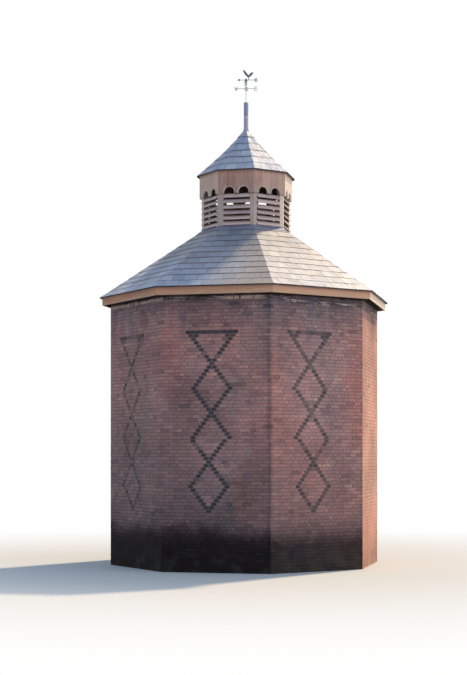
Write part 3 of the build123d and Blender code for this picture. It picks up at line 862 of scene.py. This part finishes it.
def brick(shell, side, course, start, end, tone, chance):
    """One brick face with worn edges, standing proud of the mortar."""
    x_low = (start - QUARTERS / 2) * QUARTER
    x_high = (end - QUARTERS / 2) * QUARTER
    lap = HEADER_GAP if tone[1] > BARELY_BURNT and course != BAR_COURSE else 0.0
    gap = JOINT / 2 + lap
    x_low += gap + spot(chance, END_DRIFT) if start > 0 else 0.0
    x_high -= gap + spot(chance, END_DRIFT) if end < QUARTERS else 0.0
    z_low = course * COURSE + JOINT / 2 + lap / 2
    z_high = min((course + 1) * COURSE - JOINT / 2 - lap / 2, WALL_HEIGHT)
    along, up = CORNER_DRIFT
    corners = rectangle(x_low, x_high, z_low, z_high)
    corners = [(x + spot(chance, along), z + spot(chance, up)) for x, z in corners]
    face = WALL_OUTER - chance.uniform(0.0, SET_BACK)
    edge = WORN_EDGE + spot(chance, EDGE_DRIFT)
    middle_x, middle_z = (x_low + x_high) / 2, (z_low + z_high) / 2
    inset = [
        (x + math.copysign(edge, middle_x - x), z + math.copysign(edge, middle_z - z)) for x, z in corners
    ]
    rings = [
        front_ring(inset, face),
        front_ring(corners, face - edge * EDGE_SLOPE),
        front_ring(corners, WALL_OUTER - BRICK_DEPTH),
    ]
    shell.add(rings, side, 0, tone, wall_place(side))


def mortar_block(shell, side, x_low, x_high, z_low, z_high):
    """The bedding and the body of the wall behind the brick faces."""
    outline = rectangle(x_low, x_high, z_low, z_high)
    rings = [front_ring(outline, WALL_OUTER - PROUD), front_ring(outline, WALL_INNER)]
    shell.add(rings, side, 1, (0.5, 0.0, SHADE[side]), wall_place(side))


def brick_wall(side):
    """One wall of the octagon, brick by brick."""
    chance = draws("wall", side)
    shell = Shell()
    reach, top = WALL_OUTER, 0.0
    if side == BACK:
        top = lintel_high.z
        parts = ((threshold_high.x, 0.0, lintel_low.z), (lintel_high.x, lintel_low.z, top))
        for edge in (-1, 1):
            for inner, low, high in parts:
                mortar_block(shell, side, *sorted((edge * inner, edge * reach)), low, high)
    mortar_block(shell, side, -reach, reach, top, WALL_HEIGHT)
    below = []
    for course in range(int(WALL_HEIGHT / COURSE) + 1):
        bricks = course_joints(course, side, below, chance)
        for start, end, burnt in bricks:
            tone = brick_tone(side, course, start, end, burnt, chance)
            brick(shell, side, course, start, end, tone, chance)
        below = [start for start, end, burnt in bricks if start > 0]
    wall = shell.make("brickwork_" + SIDES[side], [BRICK, MORTAR])
    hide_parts("wall_" + SIDES[side])


def clip(outline, keep):
    """The part of a flat outline where keep isn't negative."""
    result = []
    for index, point in enumerate(outline):
        before = outline[index - 1]
        now, then = keep(point), keep(before)
        if (now >= 0) != (then >= 0):
            part = then / (then - now)
            result.append(tuple(b + (p - b) * part for b, p in zip(before, point)))
        if now >= 0:
            result.append(point)
    return result


class Slope:
    """One roof slope on the front: u runs along the eaves, v up the slope and w out of it.

    A roof that grows steeper changes its pitch at the bend."""

    def __init__(self, eaves, top, eaves_height, pitch, bend=None, upper_pitch=None):
        self.eaves, self.height = eaves, eaves_height
        self.pitch, self.upper_pitch = pitch, upper_pitch or pitch
        self.bend = (eaves - (bend or top)) / math.cos(pitch)
        self.length = self.bend + ((bend or top) - top) / math.cos(self.upper_pitch)

    def run_and_rise(self, v):
        """How far in from the eaves and how high above them the slope's surface is."""
        lower, upper = min(v, self.bend), max(v - self.bend, 0.0)
        run = lower * math.cos(self.pitch) + upper * math.cos(self.upper_pitch)
        return run, lower * math.sin(self.pitch) + upper * math.sin(self.upper_pitch)

    def point(self, u, v, w):
        """A place in space, with everything past the upright face of the eaves brought back to it."""
        v = max(v, w * math.tan(self.pitch))
        pitch = self.upper_pitch if v > self.bend else self.pitch
        run, rise = self.run_and_rise(v)
        apothem = self.eaves - run + w * math.sin(pitch)
        return (mitre(u, apothem), -apothem, self.height + rise + w * math.cos(pitch))

    def half_width(self, v):
        return (self.eaves - self.run_and_rise(v)[0]) * SPREAD

    def trim(self, outline):
        for edge in (-1, 1):
            outline = clip(outline, lambda point: self.half_width(point[1]) - edge * point[0])
        return clip(outline, lambda point: self.length - point[1])


def slate(shell, slope, side, outline, gauge, start, lift, tone, chance):
    """One slate, tilted so that its tail lies on the course below. Its tail edge has its own dark finish,
    painted shade.
    """
    outline = slope.trim(outline)
    if len(outline) < 3:
        return
    fall = SLATE_THICKNESS / gauge
    thickness = SLATE_THICKNESS + spot(chance, THICKNESS_DRIFT)
    rings = []
    for depth in (0.0, thickness):
        rings.append([slope.point(u, v, lift - (v - start) * fall - depth) for u, v in outline])
    tail = [2 if (a[1] + b[1]) / 2 < start + TAIL_EDGE else 0 for a, b in neighbours(outline)]
    along, deep = (spread * tone[2] for spread in GRAIN_SPREAD)
    grain = [(u + along, v - start, deep) for u, v in outline] * 2
    shell.add(rings, side, [0, *tail, 0], tone, grain)


def painted_sunlight(side, u, v, chance):
    """How far a slate is painted a warmer grey as sunlit, more towards the right on the front, past the
    lantern's shadow.
    """
    sunlit = SLATE_SUNLIT[side]
    if side == FRONT:
        sunlit *= share((u + SUNLIT_EDGE - SUNLIT_SLANT * v) / SUNLIT_FADE)
    return share(sunlit + spot(chance, SUNLIT_DRIFT))


def slate_courses(shell, slope, side, gauge, width, chance, sunlit_scale=1.0):
    """Courses of slates from the eaves up, broken-jointed and cut close to the hips."""
    for course in range(-1, math.ceil(slope.length / gauge)):
        start = max(course, 0) * gauge
        length = gauge + SLATE_LAP if course >= 0 else gauge * UNDER_EAVES_LENGTH
        half = slope.half_width(start)
        offset = 0.5 * width if course % 2 else 0.0
        place = -half - width + (half + offset) % width
        while place < half:
            wide = width + spot(chance, width * WIDTH_DRIFT)
            tails = [start + spot(chance, TAIL_DRIFT), start + spot(chance, TAIL_DRIFT)]
            if course <= 0:
                tails = [-EAVES_REACH, -EAVES_REACH]
            left, right = place + SLATE_GAP / 2, place + wide - SLATE_GAP / 2
            outline = [(left, tails[0]), (right, tails[1]), (right, start + length), (left, start + length)]
            lift = -SLATE_THICKNESS * UNDER_EAVES_DROP
            if course >= 0:
                lift = spot(chance, LIFT_DRIFT) - LIFT_DRIFT
            sunlit = sunlit_scale * painted_sunlight(side, place + wide / 2, start, chance)
            tone = (share(chance.gauss(*SLATE_TONE)), sunlit, chance.random())
            slate(shell, slope, side, outline, gauge, start, lift, tone, chance)
            place += wide


def strip(shell, slope, side, low, high, bottom, slot):
    """A layer under the slates between two distances up the slope."""
    outline = slope.trim(rectangle(-slope.eaves, slope.eaves, low, high))
    rings = [[slope.point(u, v, w) for u, v in outline] for w in (UNDERLAY_TOP, bottom)]
    shell.add(rings, side, slot, grain=[(u, v, 0.0) for u, v in outline] * 2)


def underlay(shell, slope, side, bottom):
    """The boards under the slates, closed against the rafters, and a dark fillet along the eaves, painted
    shade.
    """
    strip(shell, slope, side, -EAVES_REACH, FILLET_WIDTH, bottom, 2)
    strip(shell, slope, side, FILLET_WIDTH, slope.bend, bottom, 1)
    if slope.length > slope.bend:
        strip(shell, slope, side, slope.bend, slope.length, bottom, 1)


def main_roof():
    """Eight slated slopes from the eaves to the lantern."""
    eaves_top = ROOF_TOP - (EAVES_OUTER - LANTERN_OUTER) * math.tan(ROOF_PITCH)
    covering = (eaves_top - roof_low.z) * math.cos(ROOF_PITCH)
    slope = Slope(EAVES_OUTER, LANTERN_OUTER, eaves_top, ROOF_PITCH)
    for side, name in enumerate(SIDES):
        shell = Shell()
        slate_courses(shell, slope, side, SLATE_GAUGE, SLATE_WIDTH, draws("roof", side))
        underlay(shell, slope, side, -covering)
        roof = shell.make("slates_" + name, [SLATE, RAFTER, SHADED_EDGE])
        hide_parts("roof_" + name)


def lantern_roof():
    """The steeper roof of the lantern in one piece, with smaller slates."""
    eaves_top = lantern_low.z + LANTERN_COVERING / math.cos(LANTERN_PITCH)
    slope = Slope(
        -lantern_low.y, -finial_low.y, eaves_top, LANTERN_PITCH, BELL_APOTHEM, LANTERN_UPPER_PITCH,
    )
    shell = Shell()
    for side in range(len(SIDES)):
        chance = draws("lantern_roof", side)
        slate_courses(shell, slope, side, LANTERN_GAUGE, LANTERN_SLATE_WIDTH, chance, LANTERN_SUNLIT)
        underlay(shell, slope, side, -LANTERN_COVERING)
    roof = shell.make("slates_lantern", [SLATE, RAFTER, SHADED_EDGE])
    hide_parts("lantern_roof")


def fascia():
    """The eaves boards, mitred at the corners."""
    outer, top = -fascia_low.y, fascia_high.z
    levels = ((outer, top - FASCIA_THICKNESS * math.tan(ROOF_PITCH)), (outer - FASCIA_THICKNESS, top))
    shell = Shell()
    chance = draws("fascia")
    for side in range(len(SIDES)):
        rings = []
        for apothem, level in levels:
            limit = apothem * SPREAD - MITRE_GAP
            rings.append(front_ring(rectangle(-limit, limit, fascia_low.z, level), apothem))
        # the sunnier sides painted paler as sunlit, and the front left board darkest, painted shade
        tone = (chance.uniform(0.35, 0.65), 0.0, 1.0 - SHADE[side])
        if side == FRONT_LEFT:
            tone = (0.0, 0.0, 0.0)
        shell.add(rings, side, 0, tone, lambda x, y, z: (x + 5.0 * side, z, y))
    board = shell.make("fascia_boards", [FASCIA], bevel=0.003)
    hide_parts("eaves_fascia")


def timber(shell, rings, side, chance, tones, sunlit_bleach, slots=0, upright=True):
    """One wooden solid with a tone of its own and its grain upright or along the side."""
    seed = chance.uniform(0.0, GRAIN_SEED)
    tone = (chance.uniform(*tones), 0.0, sunlit_bleach)

    def grain(x, y, z):
        return (z + seed, x + seed, y) if upright else (x + seed, y + seed, z)

    shell.add(rings, side, slots, tone, grain)


def plank_foot(low, high, radius):
    """The lower edge of a flight-board plank from left to right as (x, height, whether cut by a hole)."""
    spring = BOARD_FOOT + HOLE_HEIGHT - HOLE_RADIUS
    edge = []
    for middle in (-HOLE_MIDDLE, HOLE_MIDDLE):
        left, right = middle - radius, middle + radius
        if right <= low or left >= high:
            continue
        start, end = max(left, low), min(right, high)
        if start > low:
            edge += [(low, BOARD_FOOT, False), (start, BOARD_FOOT, True)]
        first, last = (math.acos(max(-1.0, min(1.0, (x - middle) / radius))) for x in (start, end))
        for step in range(ARCH_STEPS + 1):
            angle = first + (last - first) * step / ARCH_STEPS
            edge.append((middle + radius * math.cos(angle), spring + radius * math.sin(angle), True))
        if end < high:
            edge.append((end, BOARD_FOOT, False))
    if not edge or edge[-1][0] < high - 1e-6:
        edge.append((high, BOARD_FOOT, False))
    return edge


def flight_planks(side):
    """The upright planks of one lantern side, with two arched holes whose edges are chamfered."""
    chance = draws("planks", side)
    shell = Shell()
    wide = 2 * BOARD_OUTER * SPREAD / PLANKS
    for plank in range(PLANKS):
        low = -BOARD_OUTER * SPREAD + plank * wide + (PLANK_GAP / 2 if plank else 0.0)
        high = -BOARD_OUTER * SPREAD + (plank + 1) * wide - (PLANK_GAP / 2 if plank < PLANKS - 1 else 0.0)
        outer = plank_foot(low, high, HOLE_RADIUS + RIM_WIDTH)
        inner = plank_foot(low, high, HOLE_RADIUS)
        face = BOARD_OUTER - PLANK_SET_BACK + spot(chance, FACE_DRIFT)
        rings = []
        for foot, apothem in ((outer, face), (inner, face - RIM_DEPTH), (inner, LANTERN_OUTER + CLEARANCE)):
            level = board_high.z - (apothem - LANTERN_OUTER) * math.tan(LANTERN_PITCH) - CLEARANCE
            outline = [(x, z) for x, z, _ in foot]
            rings.append(front_ring([*outline, (high, level), (low, level)], apothem))
        cut = [*(by_hole for _, _, by_hole in outer), False, False]
        rim = [int(before and after) for before, after in neighbours(cut)]
        timber(shell, rings, side, chance, (0.30, 0.75), SUNLIT_BLEACH[side], [0, *rim, *rim, 0])
    boards = shell.make("flight_planks_" + SIDES[side], [BOARD, BOARD_RIM], bevel=0.0018)
    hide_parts("flight_board_" + SIDES[side])


def louvre_slats():
    """Six tilted slats on each side, with rounded edges and a little unevenness."""
    half = LANTERN_OUTER * SPREAD - POST_FACE
    lip = LANTERN_OUTER + LOUVRE_LIP - LOUVRE_THICKNESS * math.sin(LOUVRE_TILT)
    shell = Shell()
    chance = draws("louvres")
    for side in range(len(SIDES)):
        for place in range(LOUVRES):
            tilt = LOUVRE_TILT + math.radians(spot(chance, TILT_DRIFT))
            level = CURB_TOP + place * LOUVRE_PITCH + CLEARANCE
            run, rise = LOUVRE_WIDTH * math.cos(tilt), LOUVRE_WIDTH * math.sin(tilt)
            out, up = LOUVRE_THICKNESS * math.sin(tilt), LOUVRE_THICKNESS * math.cos(tilt)
            section = [
                (lip, level), (lip - run, level + rise),
                (lip - run + out, level + rise + up), (lip + out, level + up),
            ]
            rings = []
            for x in (half, -half):
                shift = spot(chance, FACE_DRIFT)
                rings.append([(x, -apothem, z + shift * (place > 0)) for apothem, z in section])
            timber(shell, rings, side, chance, (0.2, 0.95), 0.5 * SUNLIT_BLEACH[side], upright=False)
    slats = shell.make("louvre_slats", [LOUVRE], bevel=0.003)
    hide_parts("lantern_louvres")


def corner_posts():
    """The eight five-sided posts of the lantern."""
    shell = Shell()
    chance = draws("posts")
    corner = Vector((LANTERN_OUTER * SPREAD, -LANTERN_OUTER))
    near = Vector((corner.x - POST_FACE, -LANTERN_OUTER))
    inner = Vector((near.x, -LANTERN_OUTER + POST_DEPTH))
    across = Vector((math.cos(TURN / 2), math.sin(TURN / 2)))

    def flip(point):
        return point - 2 * point.dot(across) * across

    plan = [inner, near, corner, flip(near), flip(inner)]
    rings = [[(p.x, p.y, z) for p in plan] for z in (post_high.z, post_low.z)]
    for side in range(len(SIDES)):
        sunlit_bleach = max(SUNLIT_BLEACH[side], SUNLIT_BLEACH[(side + 1) % len(SIDES)])
        # the front left post gets no painted sunlight
        if side == FRONT_LEFT:
            sunlit_bleach = 0.0
        timber(shell, rings, side, chance, (0.3, 0.7), sunlit_bleach)
    posts = shell.make("oak_posts", [POST], bevel=0.005)
    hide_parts("lantern_posts")


def door_planks():
    """The upright planks of the door."""
    shell = Shell()
    chance = draws("door")
    wide = (leaf_high.x - leaf_low.x) / DOOR_PLANKS
    for plank in range(DOOR_PLANKS):
        low = leaf_low.x + plank * wide + DOOR_GAP / 2
        high = leaf_low.x + (plank + 1) * wide - DOOR_GAP / 2
        outline = rectangle(low, high, leaf_low.z, leaf_high.z)
        rings = [[(x, y, z) for x, z in reversed(outline)] for y in (leaf_high.y, leaf_low.y)]
        timber(shell, rings, 0, chance, (0.2, 0.8), 0.0)
    leaf = shell.make("door_planks", [DOOR], bevel=0.003)
    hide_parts("door_leaf")


def door_nails():
    """Hammered nail heads along both straps, pointing out of the back wall."""
    shell = Shell()
    angles = [2 * math.pi * k / NAIL_SIDES for k in range(NAIL_SIDES)]
    for level in (strap_low.z + STRAP_HALF, strap_high.z - STRAP_HALF):
        for step in range(NAILS):
            x = strap_high.x - NAIL_END - step * NAIL_STEP
            rings = []
            for part, out in NAIL_RINGS:
                reach, y = part * NAIL_RADIUS, strap_high.y + out
                rings.append([(x - reach * math.cos(a), y, level + reach * math.sin(a)) for a in angles])
            shell.add(rings)
    nails = shell.make("door_nails", [IRON], smooth=math.radians(50))


def stroke(shell, start, end, place):
    """One bar of a letter between two flat points, put in place by a function."""
    start, end = Vector(start), Vector(end)
    along = (end - start).normalized()
    aside = Vector((-along.y, along.x)) * STROKE / 2
    over = along * STROKE * STROKE_OVERLAP
    flat = [start - over - aside, end + over - aside, end + over + aside, start - over + aside]
    shell.add([[place(p.x, depth, p.y) for p in flat] for depth in (-LETTER_DEPTH / 2, LETTER_DEPTH / 2)])


def compass_letters():
    """Letters that face the front: east and west on the arms' ends, the others on top of theirs."""
    middle_z = (arms_low.z + arms_high.z) / 2
    vertices = [v.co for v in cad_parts["cardinal_arms"].data.vertices]
    tip = max(vertices, key=lambda co: co.x)
    reach = math.hypot(tip.x, tip.y)
    east = Vector((tip.x / reach, tip.y / reach, 0.0))
    north = Vector((-east.y, east.x, 0.0))
    seats = {
        "E": (east * (reach - LETTER_WIDTH), -LETTER_HEIGHT / 2),
        "W": (east * -reach, -LETTER_HEIGHT / 2),
        "N": (north * (reach - LETTER_DEPTH) - east * LETTER_WIDTH / 2, STROKE),
        "S": (north * -(reach - LETTER_DEPTH) - east * LETTER_WIDTH / 2, STROKE),
    }
    for letter, (corner, rise) in seats.items():
        shell = Shell()

        def place(x, depth, z):
            point = corner + east * x + north * depth
            return (point.x, point.y, middle_z + rise + z)

        for line in LETTERS[letter]:
            line = [(x * LETTER_WIDTH, z * LETTER_HEIGHT) for x, z in line]
            for start, end in zip(line, line[1:]):
                stroke(shell, start, end, place)
        piece = shell.make("letter_" + letter, [IRON])


def dress_carried_nodes():
    for name, material in CARRIED.items():
        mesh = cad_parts[name].data
        mesh.materials.clear()
        mesh.materials.append(material)


def stage():
    """A plain pale floor that fades to white away from the walls."""
    s = Shade("pale_floor", 0.95, specular=0.1)
    s.finish(FLOOR_COLOUR)
    far = s.rise(s.length(s.place), FLOOR_NEAR, FLOOR_FAR)
    white = s.add("ShaderNodeEmission", Color=WHITE, Strength=1.0)
    surface = s.between(s.times(far, s.seen()), s.shader, white)
    s.put(s.nodes["Material Output"].inputs["Surface"], surface)
    mesh = bpy.data.meshes.new("floor")
    corners = [(x * FLOOR_REACH, y * FLOOR_REACH, -FLOOR_DROP) for x, y in rectangle(-1, 1, -1, 1)]
    mesh.from_pydata(corners, [], [(0, 1, 2, 3)])
    mesh.materials.append(s.material)
    floor = placed("floor", mesh)


def sky():
    """A world that lights softly and shows white to the camera and in reflections."""
    world = bpy.data.worlds.new("studio")
    world.use_nodes = True
    bpy.context.scene.world = world
    s = Nodes(world.node_tree)
    s.nodes.clear()
    light = s.add("ShaderNodeBackground", Color=SKY_COLOUR, Strength=SKY_STRENGTH)
    white = s.add("ShaderNodeBackground", Color=WHITE, Strength=1.0)
    s.add("ShaderNodeOutputWorld", Surface=s.between(s.seen(), light, white))


def lamp(name, azimuth, elevation, strength, colour, spread):
    """A distant soft lamp that shines from a compass direction, 0 being the front, and a height."""
    data = bpy.data.lights.new(name, "SUN")
    data.energy = strength
    data.color = colour
    data.angle = math.radians(spread)
    piece = placed(name, data)
    a, e = math.radians(azimuth), math.radians(elevation)
    towards = Vector((math.sin(a) * math.cos(e), -math.cos(a) * math.cos(e), math.sin(e)))
    piece.rotation_euler = towards.to_track_quat("Z", "Y").to_euler()
    piece.location = towards * LAMP_DISTANCE


def camera():
    """The photograph's camera: level, with the frame shifted up and a little left."""
    data = bpy.data.cameras.new("camera")
    longest = max(PHOTO_WIDTH, PHOTO_HEIGHT)
    data.sensor_width = SENSOR
    data.lens = FOCAL_PIXELS / longest * SENSOR
    data.shift_x = (PHOTO_WIDTH / 2 - AXIS_X) / longest
    data.shift_y = (HORIZON_Y - PHOTO_HEIGHT / 2) / longest
    data.clip_end = 500
    piece = placed("camera", data)
    piece.location = (
        CAMERA_DISTANCE * math.sin(CAMERA_TURN), -CAMERA_DISTANCE * math.cos(CAMERA_TURN), CAMERA_HEIGHT,
    )
    piece.rotation_euler = (math.pi / 2, 0.0, CAMERA_TURN)
    bpy.context.scene.camera = piece


camera()
sky()
lamp("key", azimuth=152, elevation=46.5, strength=5.0, colour=(1.0, 0.78, 0.51), spread=4)
lamp("fill", azimuth=88, elevation=10, strength=1.5, colour=(1.0, 0.95, 0.90), spread=50)
stage()
for index in range(len(SIDES)):
    brick_wall(index)
    flight_planks(index)
main_roof()
lantern_roof()
fascia()
louvre_slats()
corner_posts()
door_planks()
door_nails()
compass_letters()
dress_carried_nodes()
bpy.context.scene.view_settings.view_transform = "Standard"
